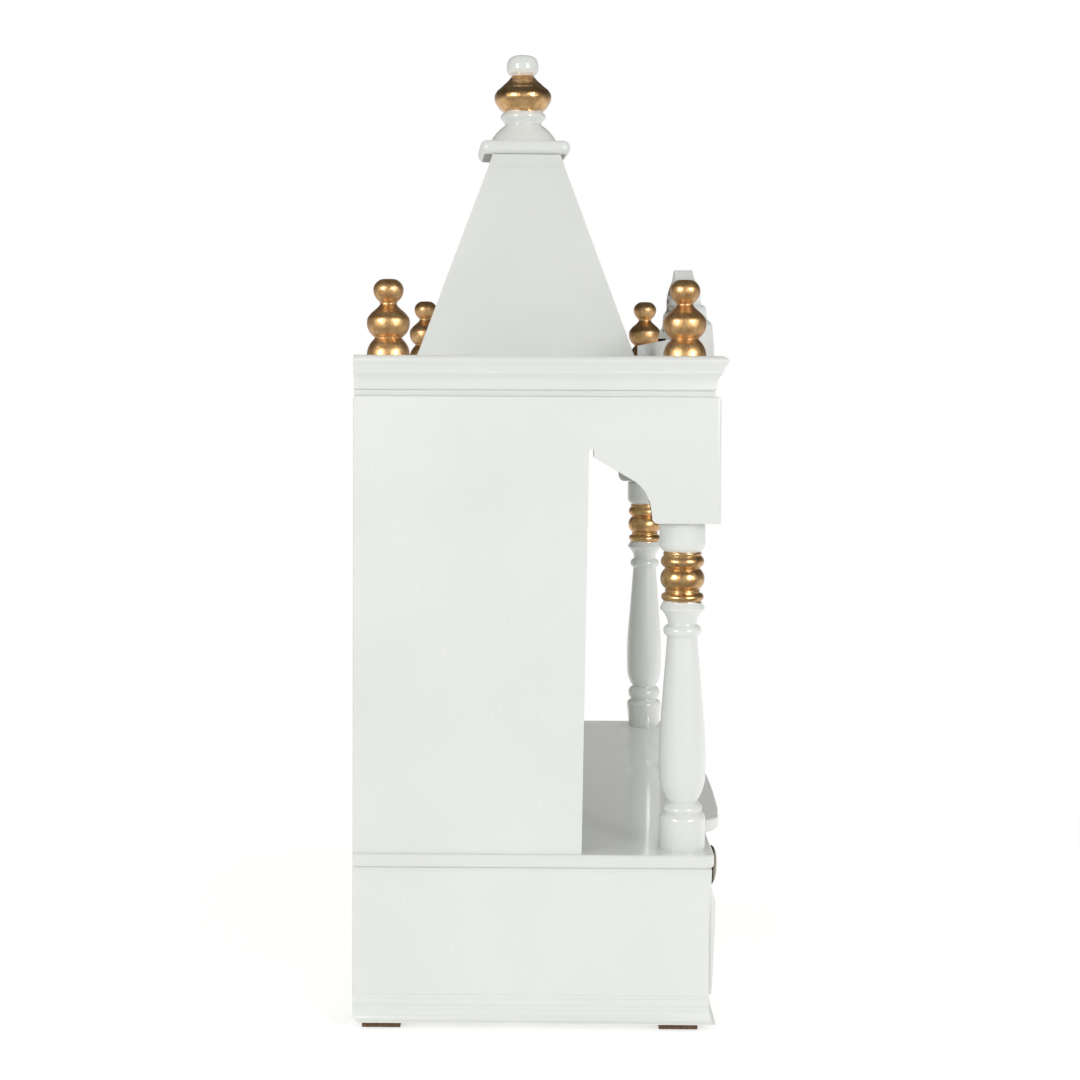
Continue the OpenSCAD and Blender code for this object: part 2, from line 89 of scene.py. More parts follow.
def addNode(tree, kind, values=None, links=None, **options):
    node = tree.nodes.new("ShaderNode" + kind)
    for option, value in options.items():
        setattr(node, option, value)
    for socket, value in (values or {}).items():
        node.inputs[socket].default_value = value
    for socket, source in (links or {}).items():
        tree.links.new(source, node.inputs[socket])
    return node


def placeCamera(values):
    data = bpy.data.cameras.new("camera")
    data.lens = values["lens"]
    data.shift_x, data.shift_y = values["shift"]
    data.clip_start, data.clip_end = 0.05, 50
    camera = bpy.data.objects.new("camera", data)
    scene.collection.objects.link(camera)
    turn = (Matrix.Rotation(math.radians(values["heading"] - 90), 4, "Z")
            @ Matrix.Rotation(math.radians(90 - values["dip"]), 4, "X")
            @ Matrix.Rotation(math.radians(values["roll"]), 4, "Z"))
    camera.matrix_world = Matrix.Translation(values["place"]) @ turn
    scene.camera = camera


def placeLamp(name, place, width, height, watts, aim):
    data = bpy.data.lights.new(name, "AREA")
    data.shape = "RECTANGLE"
    data.size, data.size_y = width, height
    data.energy = watts
    lamp = bpy.data.objects.new(name, data)
    scene.collection.objects.link(lamp)
    way = Vector(aim) - Vector(place)
    lamp.matrix_world = Matrix.Translation(place) @ way.to_track_quat("-Z", "Y").to_matrix().to_4x4()
    lamp.visible_camera = False


def mirrored(tree, path):
    # 1 for rays that reach here by a reflection or through glass
    either = addNode(tree, "Math", links={0: path.outputs["Is Glossy Ray"], 1: path.outputs["Is Transmission Ray"]},
                     operation="MAXIMUM")
    return either.outputs[0]


def makeFloor(values):
    # a sheet of white studio paper: it keeps the soft shadow near the feet and runs out into the white behind
    material = bpy.data.materials.new("studioPaper")
    material.use_nodes = True
    tree = material.node_tree
    tree.nodes.clear()
    coords = addNode(tree, "TexCoord")
    grain = addNode(tree, "TexNoise", {"Scale": 900.0, "Detail": 2.0}, {"Vector": coords.outputs["Object"]})
    bump = addNode(tree, "Bump", {"Strength": 0.05, "Distance": 0.0002}, {"Height": grain.outputs[0]})
    paper = addNode(tree, "BsdfDiffuse", {"Color": linear(values["paper"])}, {"Normal": bump.outputs[0]})
    lift = addNode(tree, "Emission", {"Strength": values["floorLift"]})
    near = addNode(tree, "AddShader", links={0: paper.outputs[0], 1: lift.outputs[0]})
    byMirror = mirrored(tree, addNode(tree, "LightPath"))
    sideways = addNode(tree, "SeparateXYZ", links={0: coords.outputs["Object"]})
    paperEnd = addNode(tree, "MapRange", {"From Min": values["paperEnd"][0], "From Max": values["paperEnd"][1],
                                          "To Min": values["roomFloor"]},
                       {"Value": sideways.outputs["X"]}, interpolation_type="SMOOTHSTEP")
    sheen = addNode(tree, "Emission", links={"Strength": paperEnd.outputs[0]})
    white = addNode(tree, "Emission", {"Strength": 1.0})
    distance = addNode(tree, "VectorMath", links={0: coords.outputs["Object"]}, operation="LENGTH")
    fade = addNode(tree, "MapRange", {"From Min": values["shadowReach"][0], "From Max": values["shadowReach"][1]},
                   {"Value": distance.outputs["Value"]}, interpolation_type="SMOOTHSTEP")
    shown = addNode(tree, "MixShader", links={0: fade.outputs[0], 1: near.outputs[0], 2: white.outputs[0]})
    either = addNode(tree, "MixShader", links={0: byMirror, 1: shown.outputs[0], 2: sheen.outputs[0]})
    addNode(tree, "OutputMaterial", links={"Surface": either.outputs[0]})
    bm = bmesh.new()
    bmesh.ops.create_circle(bm, cap_ends=True, segments=96, radius=values["floorRadius"])
    mesh = bpy.data.meshes.new("floor")
    bm.to_mesh(mesh)
    bm.free()
    mesh.materials.append(material)
    floor = bpy.data.objects.new("floor", mesh)
    scene.collection.objects.link(floor)


def makeWorld(values):
    # white behind the shrine, pale at eye level and dimmer overhead, as in a room lit by two softboxes
    world = bpy.data.worlds.new("whiteStudio")
    world.use_nodes = True
    tree = world.node_tree
    tree.nodes.clear()
    way = addNode(tree, "TexCoord").outputs["Generated"]
    parts = addNode(tree, "SeparateXYZ", links={0: way})
    height = parts.outputs["Z"]
    ambient = addNode(tree, "MapRange", {"From Min": -0.1, "From Max": 0.8, "To Min": values["ambientLow"],
                                         "To Max": values["ambientHigh"]}, {"Value": height})
    mirror = addNode(tree, "MapRange", {"From Min": -0.1, "From Max": 0.42, "To Min": values["mirrorLow"],
                                        "To Max": values["mirrorHigh"]}, {"Value": height},
                     interpolation_type="SMOOTHSTEP")
    across = addNode(tree, "Math", links={0: parts.outputs["Y"]}, operation="ABSOLUTE")
    sides = addNode(tree, "MapRange", {"From Min": 0.4, "From Max": 0.85, "To Min": 1.0,
                                       "To Max": values["mirrorSides"]},
                    {"Value": across.outputs[0]}, interpolation_type="SMOOTHSTEP")
    room = addNode(tree, "MapRange", {"From Min": 0.1, "From Max": -0.6, "To Min": 1.0,
                                      "To Max": values["mirrorRoom"]},
                   {"Value": parts.outputs["X"]}, interpolation_type="SMOOTHSTEP")
    dimmed = addNode(tree, "Math", links={0: sides.outputs[0], 1: room.outputs[0]}, operation="MULTIPLY")
    seen = addNode(tree, "Math", links={0: mirror.outputs[0], 1: dimmed.outputs[0]}, operation="MULTIPLY")
    path = addNode(tree, "LightPath")
    byMirror = mirrored(tree, path)
    lit = addNode(tree, "Mix", links={0: byMirror, 2: ambient.outputs[0], 3: seen.outputs[0]}, data_type="FLOAT")
    strength = addNode(tree, "Mix", {3: 1.0}, {0: path.outputs["Is Camera Ray"], 2: lit.outputs[0]},
                       data_type="FLOAT")
    sky = addNode(tree, "Background", {"Color": (1, 1, 1, 1)}, {"Strength": strength.outputs[0]})
    addNode(tree, "OutputWorld", links={"Surface": sky.outputs[0]})
    scene.world = world


placeCamera(cameraValues)
makeFloor(stageValues)
makeWorld(stageValues)
for lampName, lampRow in lampValues.items():
    placeLamp(lampName, *lampRow, aim=stageValues["lampAim"])
bpy.data.objects["frontFill"].visible_glossy = False
for lampName in ("glintRear", "glintFront"):  # the bare bulbs behind the cloth: they only show in the gloss
    bpy.data.objects[lampName].visible_diffuse = False
scene.view_settings.view_transform = "Standard"
print("shrine: camera and studio ready")

lacquerValues = {
    "tone": "#E3E5E1",  # cool white of the last coat
    "shade": "#E0E2DD",  # where the coat lies thinner
    "scuff": "#EFEFEB",
    "cloudSize": 90 * mm,
    "peelSize": 2.6 * mm,
    "waveSize": 38 * mm,
}

goldValues = {
    "body": "#BE9059",
    "bright": "#E0BA85",  # burnished specks
    "deep": "#744E2A",  # broken lines in the creases
    "speckSize": 1.1 * mm,
    "lumpSize": 5.5 * mm,
    "patchSize": 6.0 * mm,
    "creaseSize": 5.0 * mm,
    # a darker specular tint dims the gold's reflections towards its rims: painted shade at the edges
    "rimShadeTint": "#8E6238",
    "leafVarnish": (0.8, 0.3),  # weight and roughness of the clear coat on the finials
    "bandVarnish": (0.4, 0.16),  # and on the painted bands
    "brushWander": 1.1 * mm,  # of a band's edge, up and down
}

boardValues = {
    "fibre": "#56412F",
    "flake": "#775D43",
    "dark": "#33261A",
    "flakeSize": 1.6 * mm,
}

metalValues = {
    "body": "#23201B",
    "pewterGlintAndWear": "#A39C8A",
    "pitSize": 1.8 * mm,
}


def newFinish(name):
    material = bpy.data.materials.new(name)
    material.use_nodes = True
    tree = material.node_tree
    shader = tree.nodes["Principled BSDF"]
    spot = addNode(tree, "TexCoord").outputs["Object"]
    return material, tree, shader, spot


def whiteLacquer(name, roughness, peelDepth, coat, steps=None):
    # white lacquer sprayed on board and rubbed down: an even cool white with a quiet gloss,
    # faint orange peel and a few fine rub marks; steps are bands of height that stand a hair proud
    values = lacquerValues
    material, tree, shader, spot = newFinish(name)
    cloud = addNode(tree, "TexNoise", {"Scale": 1 / values["cloudSize"], "Detail": 3.0}, {"Vector": spot})
    level = addNode(tree, "MapRange", {"From Min": 0.35, "From Max": 0.65}, {"Value": cloud.outputs[0]})
    coatColour = addNode(tree, "Mix", {6: linear(values["tone"]), 7: linear(values["shade"])},
                         {0: level.outputs[0]}, data_type="RGBA")
    sweep = addNode(tree, "Mapping", {"Rotation": (0.2, 0.4, 0.6), "Scale": (1.0, 1.0, 0.14)}, {"Vector": spot})
    scratch = addNode(tree, "TexNoise", {"Scale": 1 / (1.7 * mm), "Detail": 2.0}, {"Vector": sweep.outputs[0]})
    rubbed = addNode(tree, "MapRange", {"From Min": 0.71, "From Max": 0.77}, {"Value": scratch.outputs[0]})
    colour = addNode(tree, "Mix", {7: linear(values["scuff"])}, {0: rubbed.outputs[0], 6: coatColour.outputs[2]},
                     data_type="RGBA")
    fine = addNode(tree, "TexNoise", {"Scale": 1 / (9 * mm), "Detail": 4.0}, {"Vector": spot})
    gloss = addNode(tree, "MapRange", {"From Min": 0.3, "From Max": 0.7, "To Min": roughness[0],
                                       "To Max": roughness[1]}, {"Value": fine.outputs[0]})
    peel = addNode(tree, "TexNoise", {"Scale": 1 / values["peelSize"], "Detail": 1.5}, {"Vector": spot})
    wave = addNode(tree, "TexNoise", {"Scale": 1 / values["waveSize"], "Detail": 1.0}, {"Vector": spot})
    waveBump = addNode(tree, "Bump", {"Strength": 0.25, "Distance": 0.3 * mm}, {"Height": wave.outputs[0]})
    if steps:
        reeds = zoneMask(tree, spot, steps, 0.25 * mm)
        stepBump = addNode(tree, "Bump", {"Strength": 0.5, "Distance": 0.6 * mm}, {"Height": reeds})
        tree.links.new(stepBump.outputs[0], waveBump.inputs["Normal"])
    peelBump = addNode(tree, "Bump", {"Strength": 0.4, "Distance": peelDepth},
                       {"Height": peel.outputs[0], "Normal": waveBump.outputs[0]})
    shader.inputs["Coat Weight"].default_value = coat
    shader.inputs["Coat Roughness"].default_value = 0.08
    tree.links.new(colour.outputs[2], shader.inputs["Base Color"])
    tree.links.new(gloss.outputs[0], shader.inputs["Roughness"])
    tree.links.new(peelBump.outputs[0], shader.inputs["Normal"])
    return material


def thinCoat(name, light, dark):
    # one dusty pass of white over bare board, on the sides nobody looks at: greyish, dry, with fibres through it
    material, tree, shader, spot = newFinish(name)
    fibre = addNode(tree, "TexNoise", {"Scale": 1 / (1.1 * mm), "Detail": 5.0, "Roughness": 0.7}, {"Vector": spot})
    patch = addNode(tree, "TexNoise", {"Scale": 1 / (22 * mm), "Detail": 3.0}, {"Vector": spot})
    both = addNode(tree, "Math", links={0: fibre.outputs[0], 1: patch.outputs[0]}, operation="ADD")
    level = addNode(tree, "MapRange", {"From Min": 0.8, "From Max": 1.2}, {"Value": both.outputs[0]})
    colour = addNode(tree, "Mix", {6: linear(light), 7: linear(dark)}, {0: level.outputs[0]}, data_type="RGBA")
    bump = addNode(tree, "Bump", {"Strength": 0.6, "Distance": 0.12 * mm}, {"Height": fibre.outputs[0]})
    shader.inputs["Roughness"].default_value = 0.62
    tree.links.new(colour.outputs[2], shader.inputs["Base Color"])
    tree.links.new(bump.outputs[0], shader.inputs["Normal"])
    return material


def brushedBack(name):
    # bare dark board daubed with white from a loaded brush, left to right: thinly covered, streaky and dry
    material, tree, shader, spot = newFinish(name)
    fibre = addNode(tree, "TexNoise", {"Scale": 1 / (1.4 * mm), "Detail": 5.0, "Roughness": 0.7}, {"Vector": spot})
    board = addNode(tree, "Mix", {6: linear("#4E3B2E"), 7: linear("#7A624E")}, {0: fibre.outputs[0]},
                    data_type="RGBA")
    along = addNode(tree, "Mapping", {"Scale": (0.12, 1.0, 1.0)}, {"Vector": spot})
    stroke = addNode(tree, "TexNoise", {"Scale": 1 / (5 * mm), "Detail": 4.0, "Roughness": 0.65},
                     {"Vector": along.outputs[0]})
    daub = addNode(tree, "TexNoise", {"Scale": 1 / (24 * mm), "Detail": 2.0}, {"Vector": along.outputs[0]})
    both = addNode(tree, "Math", links={0: stroke.outputs[0], 1: daub.outputs[0]}, operation="ADD")
    paint = addNode(tree, "MapRange", {"From Min": 0.8, "From Max": 1.0}, {"Value": both.outputs[0]})
    colour = addNode(tree, "Mix", {7: linear("#D9DAD4")}, {0: paint.outputs[0], 6: board.outputs[2]},
                     data_type="RGBA")
    bump = addNode(tree, "Bump", {"Strength": 0.6, "Distance": 0.2 * mm}, {"Height": both.outputs[0]})
    shader.inputs["Roughness"].default_value = 0.7
    tree.links.new(colour.outputs[2], shader.inputs["Base Color"])
    tree.links.new(bump.outputs[0], shader.inputs["Normal"])
    return material


def zoneMask(tree, spot, zones, wobble):
    # 1 inside the given heights, with a hand-painted edge that wanders by wobble
    height = addNode(tree, "SeparateXYZ", links={0: spot}).outputs["Z"]
    hand = addNode(tree, "TexNoise", {"Scale": 1 / (13 * mm), "Detail": 3.0}, {"Vector": spot})
    drift = addNode(tree, "MapRange", {"From Min": 0.25, "From Max": 0.75, "To Min": -wobble, "To Max": wobble},
                    {"Value": hand.outputs[0]})
    line = addNode(tree, "Math", links={0: height, 1: drift.outputs[0]}, operation="ADD").outputs[0]
    total = None
    for low, high in zones:
        up = addNode(tree, "MapRange", {"From Min": low - 0.2 * mm, "From Max": low + 0.2 * mm}, {"Value": line})
        down = addNode(tree, "MapRange", {"From Min": high + 0.2 * mm, "From Max": high - 0.2 * mm}, {"Value": line})
        zone = addNode(tree, "Math", links={0: up.outputs[0], 1: down.outputs[0]}, operation="MULTIPLY").outputs[0]
        if total is None:
            total = zone
        else:
            total = addNode(tree, "Math", links={0: total, 1: zone}, operation="MAXIMUM").outputs[0]
    return total


def goldColour(tree, spot, leafy):
    # returns colour, roughness and height sockets of the gold
    values = goldValues
    patch = addNode(tree, "TexNoise", {"Scale": 1 / values["patchSize"], "Detail": 3.0, "Roughness": 0.6},
                    {"Vector": spot})
    speck = addNode(tree, "TexNoise", {"Scale": 1 / values["speckSize"], "Detail": 2.0, "Roughness": 0.6},
                    {"Vector": spot})
    both = addNode(tree, "Math", {1: 0.6}, {0: speck.outputs[0], 2: patch.outputs[0]}, operation="MULTIPLY_ADD")
    level = addNode(tree, "MapRange", {"From Min": 0.62, "From Max": 0.98}, {"Value": both.outputs[0]})
    mottled = addNode(tree, "Mix", {6: linear(values["body"]), 7: linear(values["bright"])},
                      {0: level.outputs[0]}, data_type="RGBA")
    crease = addNode(tree, "TexVoronoi", {"Scale": 1 / values["creaseSize"], "Randomness": 1.0}, {"Vector": spot},
                     feature="DISTANCE_TO_EDGE")
    line = addNode(tree, "MapRange", {"From Min": 0.0, "From Max": 0.06, "To Min": 1.0, "To Max": 0.0},
                   {"Value": crease.outputs["Distance"]})
    broken = addNode(tree, "MapRange", {"From Min": 0.48, "From Max": 0.62, "To Max": 0.8 * leafy},
                     {"Value": speck.outputs[0]})
    mark = addNode(tree, "Math", links={0: line.outputs[0], 1: broken.outputs[0]}, operation="MULTIPLY")
    colour = addNode(tree, "Mix", {7: linear(values["deep"])}, {0: mark.outputs[0], 6: mottled.outputs[2]},
                     data_type="RGBA")
    rough = addNode(tree, "MapRange", {"From Min": 0.3, "From Max": 0.7, "To Min": 0.26 + 0.14 * leafy,
                                       "To Max": 0.32 + 0.2 * leafy}, {"Value": speck.outputs[0]})
    height = addNode(tree, "Math", {1: 0.45}, {0: speck.outputs[0], 2: patch.outputs[0]}, operation="MULTIPLY_ADD")
    return colour.outputs[2], rough.outputs[0], height.outputs[0]


def goldPaint(name, leafy, zones=None):
    # bronze-powder gold over wood: a warm satin metal with fine bright specks, creased where leafy is 1;
    # with zones it is a hand-painted band and the rest stays white lacquer
    material, tree, shader, spot = newFinish(name)
    colour, rough, height = goldColour(tree, spot, leafy)
    lumps = addNode(tree, "TexNoise", {"Scale": 1 / goldValues["lumpSize"], "Detail": 2.0},
                    {"Vector": spot}).outputs[0]
    bumpDepth = (0.05 + 0.25 * leafy) * mm
    coatWeight, coatRoughness = goldValues["bandVarnish" if zones else "leafVarnish"]
    shader.inputs["Coat Weight"].default_value = coatWeight
    shader.inputs["Coat Roughness"].default_value = coatRoughness
    if zones:
        mask = zoneMask(tree, spot, zones, goldValues["brushWander"])
        cloud = addNode(tree, "TexNoise", {"Scale": 1 / (60 * mm), "Detail": 3.0}, {"Vector": spot})
        white = addNode(tree, "Mix", {6: linear(lacquerValues["tone"]), 7: linear(lacquerValues["shade"])},
                        {0: cloud.outputs[0]}, data_type="RGBA")
        colour = addNode(tree, "Mix", links={0: mask, 6: white.outputs[2], 7: colour}, data_type="RGBA").outputs[2]
        rough = addNode(tree, "Mix", {2: 0.24}, {0: mask, 3: rough}, data_type="FLOAT").outputs[0]
        tree.links.new(mask, shader.inputs["Metallic"])
        uneven = addNode(tree, "Mix", {2: 0.5}, {0: mask, 3: lumps}, data_type="FLOAT").outputs[0]
        swell = addNode(tree, "Bump", {"Strength": 0.5, "Distance": 0.8 * mm}, {"Height": uneven}).outputs[0]
        step = addNode(tree, "Bump", {"Strength": 0.5, "Distance": 0.15 * mm},
                       {"Height": mask, "Normal": swell}).outputs[0]
        relief = addNode(tree, "Mix", {2: 0.5}, {0: mask, 3: height}, data_type="FLOAT").outputs[0]
        bump = addNode(tree, "Bump", {"Strength": 0.5, "Distance": bumpDepth}, {"Height": relief, "Normal": step})
    else:
        shader.inputs["Metallic"].default_value = 1.0
        # the darker tint gives the finials painted shade at their rims
        shader.inputs["Specular Tint"].default_value = linear(goldValues["rimShadeTint"])
        swell = addNode(tree, "Bump", {"Strength": 0.5, "Distance": 0.7 * mm}, {"Height": lumps}).outputs[0]
        bump = addNode(tree, "Bump", {"Strength": 0.5, "Distance": bumpDepth}, {"Height": height, "Normal": swell})
    tree.links.new(colour, shader.inputs["Base Color"])
    tree.links.new(rough, shader.inputs["Roughness"])
    tree.links.new(bump.outputs[0], shader.inputs["Normal"])
    return material


def rawBoard(name):
    # sawn particle board, left bare: dry brown chips in a darker binder
    values = boardValues
    material, tree, shader, spot = newFinish(name)
    stretched = addNode(tree, "Mapping", {"Scale": (1.0, 1.0, 2.2)}, {"Vector": spot})
    chips = addNode(tree, "TexVoronoi", {"Scale": 1 / values["flakeSize"]}, {"Vector": stretched.outputs[0]})
    tint = addNode(tree, "SeparateXYZ", links={0: chips.outputs["Color"]})
    body = addNode(tree, "Mix", {6: linear(values["fibre"]), 7: linear(values["flake"])}, {0: tint.outputs[0]},
                   data_type="RGBA")
    dust = addNode(tree, "TexNoise", {"Scale": 1 / (0.9 * mm), "Detail": 5.0}, {"Vector": spot})
    gap = addNode(tree, "MapRange", {"From Min": 0.56, "From Max": 0.7}, {"Value": dust.outputs[0]})
    colour = addNode(tree, "Mix", {7: linear(values["dark"])}, {0: gap.outputs[0], 6: body.outputs[2]},
                     data_type="RGBA")
    bump = addNode(tree, "Bump", {"Strength": 0.8, "Distance": 0.25 * mm}, {"Height": dust.outputs[0]})
    shader.inputs["Roughness"].default_value = 0.88
    tree.links.new(colour.outputs[2], shader.inputs["Base Color"])
    tree.links.new(bump.outputs[0], shader.inputs["Normal"])
    return material


def darkenedMetal(name, rimGlintAndWearY=None):
    # cast zinc with a blackened antique finish, nearly black in the hollows; between the two places along Y, the
    # knob's front rim,
    # it is lighter pewter: partly rubbed wear, partly a painted highlight on the rim
    values = metalValues
    material, tree, shader, spot = newFinish(name)
    pits = addNode(tree, "TexNoise", {"Scale": 1 / values["pitSize"], "Detail": 4.0}, {"Vector": spot})
    shader.inputs["Base Color"].default_value = linear(values["body"])
    if rimGlintAndWearY:
        depth = addNode(tree, "SeparateXYZ", links={0: spot}).outputs["Y"]
        drift = addNode(tree, "MapRange", {"To Min": -1.2 * mm, "To Max": 1.2 * mm}, {"Value": pits.outputs[0]})
        line = addNode(tree, "Math", links={0: depth, 1: drift.outputs[0]}, operation="ADD").outputs[0]
        # lighter band round the front rim: partly wear, partly painted highlight
        front = addNode(tree, "MapRange", {"From Min": rimGlintAndWearY[0], "From Max": rimGlintAndWearY[0] + 2 * mm}, {"Value": line})
        back = addNode(tree, "MapRange", {"From Min": rimGlintAndWearY[1] + 2 * mm, "From Max": rimGlintAndWearY[1]}, {"Value": line})
        glintAndRub = addNode(tree, "Math", links={0: front.outputs[0], 1: back.outputs[0]}, operation="MULTIPLY")
        colour = addNode(tree, "Mix", {6: linear(values["body"]), 7: linear(values["pewterGlintAndWear"])}, {0: glintAndRub.outputs[0]},
                         data_type="RGBA")
        tree.links.new(colour.outputs[2], shader.inputs["Base Color"])
    rough = addNode(tree, "MapRange", {"From Min": 0.3, "From Max": 0.7, "To Min": 0.34, "To Max": 0.52},
                    {"Value": pits.outputs[0]})
    bump = addNode(tree, "Bump", {"Strength": 0.4, "Distance": 0.12 * mm}, {"Height": pits.outputs[0]})
    shader.inputs["Metallic"].default_value = 0.9
    tree.links.new(rough.outputs[0], shader.inputs["Roughness"])
    tree.links.new(bump.outputs[0], shader.inputs["Normal"])
    return material


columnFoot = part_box("left_column")[0].z
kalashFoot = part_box("kalash")[0].z
knobLow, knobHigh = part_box("drawer_knob")

panelLacquer = whiteLacquer("sprayedPanelLacquer", (0.32, 0.40), 0.04 * mm, 0.0)
skirtingLacquer = whiteLacquer("brushedSkirtingLacquer", (0.30, 0.38), 0.05 * mm, 0.0,
                               [(10.5 * mm, 15.0 * mm), (19.0 * mm, 24.3 * mm)])
shelfLacquer = whiteLacquer("rubbedShelfLacquer", (0.05, 0.09), 0.02 * mm, 0.6)
hiddenCoat = thinCoat("thinWhiteUndercoat", "#D6D6D0", "#C3C1B8")
# darker grey for the cap slab's underside: partly bare sawn board, partly painted shade under the slab
shadedSawnUnderside = thinCoat("sawnBoardWithPaintedShade", "#A9A9A2", "#85847C")
streakedBack = brushedBack("streakedBoardBack")
goldLeaf = goldPaint("goldLeafPaint", 1.0)
columnPaint = goldPaint("columnWhiteAndGold", 0.4, [(columnFoot + 201.2 * mm, columnFoot + 241.4 * mm)])
kalashPaint = goldPaint("kalashWhiteAndGold", 0.2, [(kalashFoot + 30.4 * mm, kalashFoot + 64.6 * mm)])
footBoard = rawBoard("bareParticleBoard")
# the knob's front rim is painted lighter: partly wear, partly painted highlight
knobMetal = darkenedMetal("blackenedKnobMetal", (knobLow.y - 4 * mm, knobLow.y + 3.0 * mm))
screwBlack = darkenedMetal("blackScrewSteel")
print("shrine: finishes ready")

edgeValues = {
    "segments": 3,
    "sharpFrom": 32,  # degrees between faces
}


def keepPiece(name, bm, body, materials, parts, edge=0.0):
    # makes the piece, softens its edges or evens its shading, and ties it to its body, finish and parts
    mesh = bpy.data.meshes.new(name)
    bm.to_mesh(mesh)
    bm.free()
    mesh.shade_smooth()
    for material in materials:
        mesh.materials.append(material)
    piece = bpy.data.objects.new(name, mesh)
    scene.collection.objects.link(piece)
    if edge:
        soft = piece.modifiers.new("softEdges", "BEVEL")
        soft.width = edge
        soft.segments = edgeValues["segments"]
        soft.limit_method = "ANGLE"
        soft.angle_limit = math.radians(edgeValues["sharpFrom"])
        soft.harden_normals = True
    else:
        mesh.set_sharp_from_angle(angle=math.radians(edgeValues["sharpFrom"]))
        even = piece.modifiers.new("evenShading", "WEIGHTED_NORMAL")
        even.keep_sharp = True
    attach(piece, body)
    if parts:
        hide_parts(*parts)


def boardShape(part):
    # the board's own outline with its triangles joined into whole faces
    bm = bmesh.new()
    bm.from_mesh(nodes[part].data)
    bmesh.ops.remove_doubles(bm, verts=bm.verts, dist=0.01 * mm)
    bmesh.ops.dissolve_limit(bm, angle_limit=math.radians(0.05), verts=bm.verts, edges=bm.edges)
    bm.normal_update()
    return bm


def coatFaces(bm, way, index=1):
    # faces that look this way get the second finish
    for face in bm.faces:
        if face.normal.dot(way) > 0.95:
            face.material_index = index


# part: piece name, edge radius in mm, direction left with the thin coat
boards = {
    "plinth_bottom": ("plinthFloorBoard", 0.6, (0, 0, -1)),
    "plinth_left_side": ("plinthLeftBoard", 0.25, (1, 0, 0)),
    "plinth_right_side": ("plinthRightBoard", 0.25, (-1, 0, 0)),
    "plinth_back": ("plinthBackBoard", 0.6, (0, -1, 0)),
    "plinth_top_rail": ("drawerRail", 0.5, (0, 0, -1)),
    "left_side_panel": ("leftWallBoard", 1.6, None),
    "right_side_panel": ("rightWallBoard", 1.6, None),
    "back_panel": ("backBoard", 0.4, (0, 1, 0)),
    "front_arch": ("archBoard", 1.0, None),
    "ceiling_board": ("ceilingBoard", 0.6, None),
    "roof_board": ("roofBoard", 0.6, (0, 0, -1)),
    "roof_back_rail": ("roofBackRail", 0.6, None),
    "crest_batten": ("crestBatten", 0.8, None),
    "spire_front": ("spireFrontBoard", 0.35, (0, 0, 1)),
    "spire_back": ("spireBackBoard", 0.35, (0, 0, 1)),
    "spire_left": ("spireLeftBoard", 0.35, (0, 0, 1)),
    "spire_right": ("spireRightBoard", 0.35, (0, 0, 1)),
    "base_moulding_front": ("skirtingFront", 0.2, (0, 0, -1)),
    "base_moulding_left": ("skirtingLeft", 0.2, (0, 0, -1)),
    "base_moulding_right": ("skirtingRight", 0.2, (0, 0, -1)),
    "cornice_front": ("corniceFront", 0.3, (0, 0, -1)),
    "cornice_left": ("corniceLeft", 0.3, (0, 0, -1)),
    "cornice_right": ("corniceRight", 0.3, (0, 0, -1)),
}

for part, (pieceName, radius, under) in boards.items():
    bm = boardShape(part)
    if under:
        coatFaces(bm, Vector(under))
    if "left" in part or "right" in part:
        coatFaces(bm, Vector((0, 1, 0)), 2)  # faces towards the wall take the dark brown board finish, a dark line along the rear edge
    face = skirtingLacquer if "moulding" in part else panelLacquer
    keepPiece(pieceName, bm, "case", [face, hiddenCoat, footBoard], [part], radius * mm)


def roundedOutline(rows, steps=7):
    # rows of two places and a bulge in mm, where the bulge rounds the stretch to the next row
    points = []
    for row, following in zip(rows, rows[1:]):
        start, end, rise = Vector(row[:2]), Vector(following[:2]), row[2]
        points.append(start)
        if rise:
            span = (end - start).length
            side = Vector((start.y - end.y, end.x - start.x)) / span
            radius = (span * span / 4 + rise * rise) / (2 * rise)
            centre = (start + end) / 2 + side * (rise - radius)
            angle = math.atan2(start.y - centre.y, start.x - centre.x)
            sweep = 4 * math.atan2(2 * rise, span)
            for i in range(1, steps):
                turn = angle - sweep * i / steps
                points.append(centre + abs(radius) * Vector((math.cos(turn), math.sin(turn))))
    points.append(Vector(rows[-1][:2]))
    return points


shelfValues = {
    "tongue": 21.7,  # reach of the rounded projection at its middle, in mm
    "plan": [(0, 21.7, 0.6), (121, 19.2, 0.4), (147, 16.8, 5.8), (177, 0, 0), (292, 0, 2.3), (300, -8, 0)],
    "arris": 1.7 * mm,
    "underRound": 4.6 * mm,
}


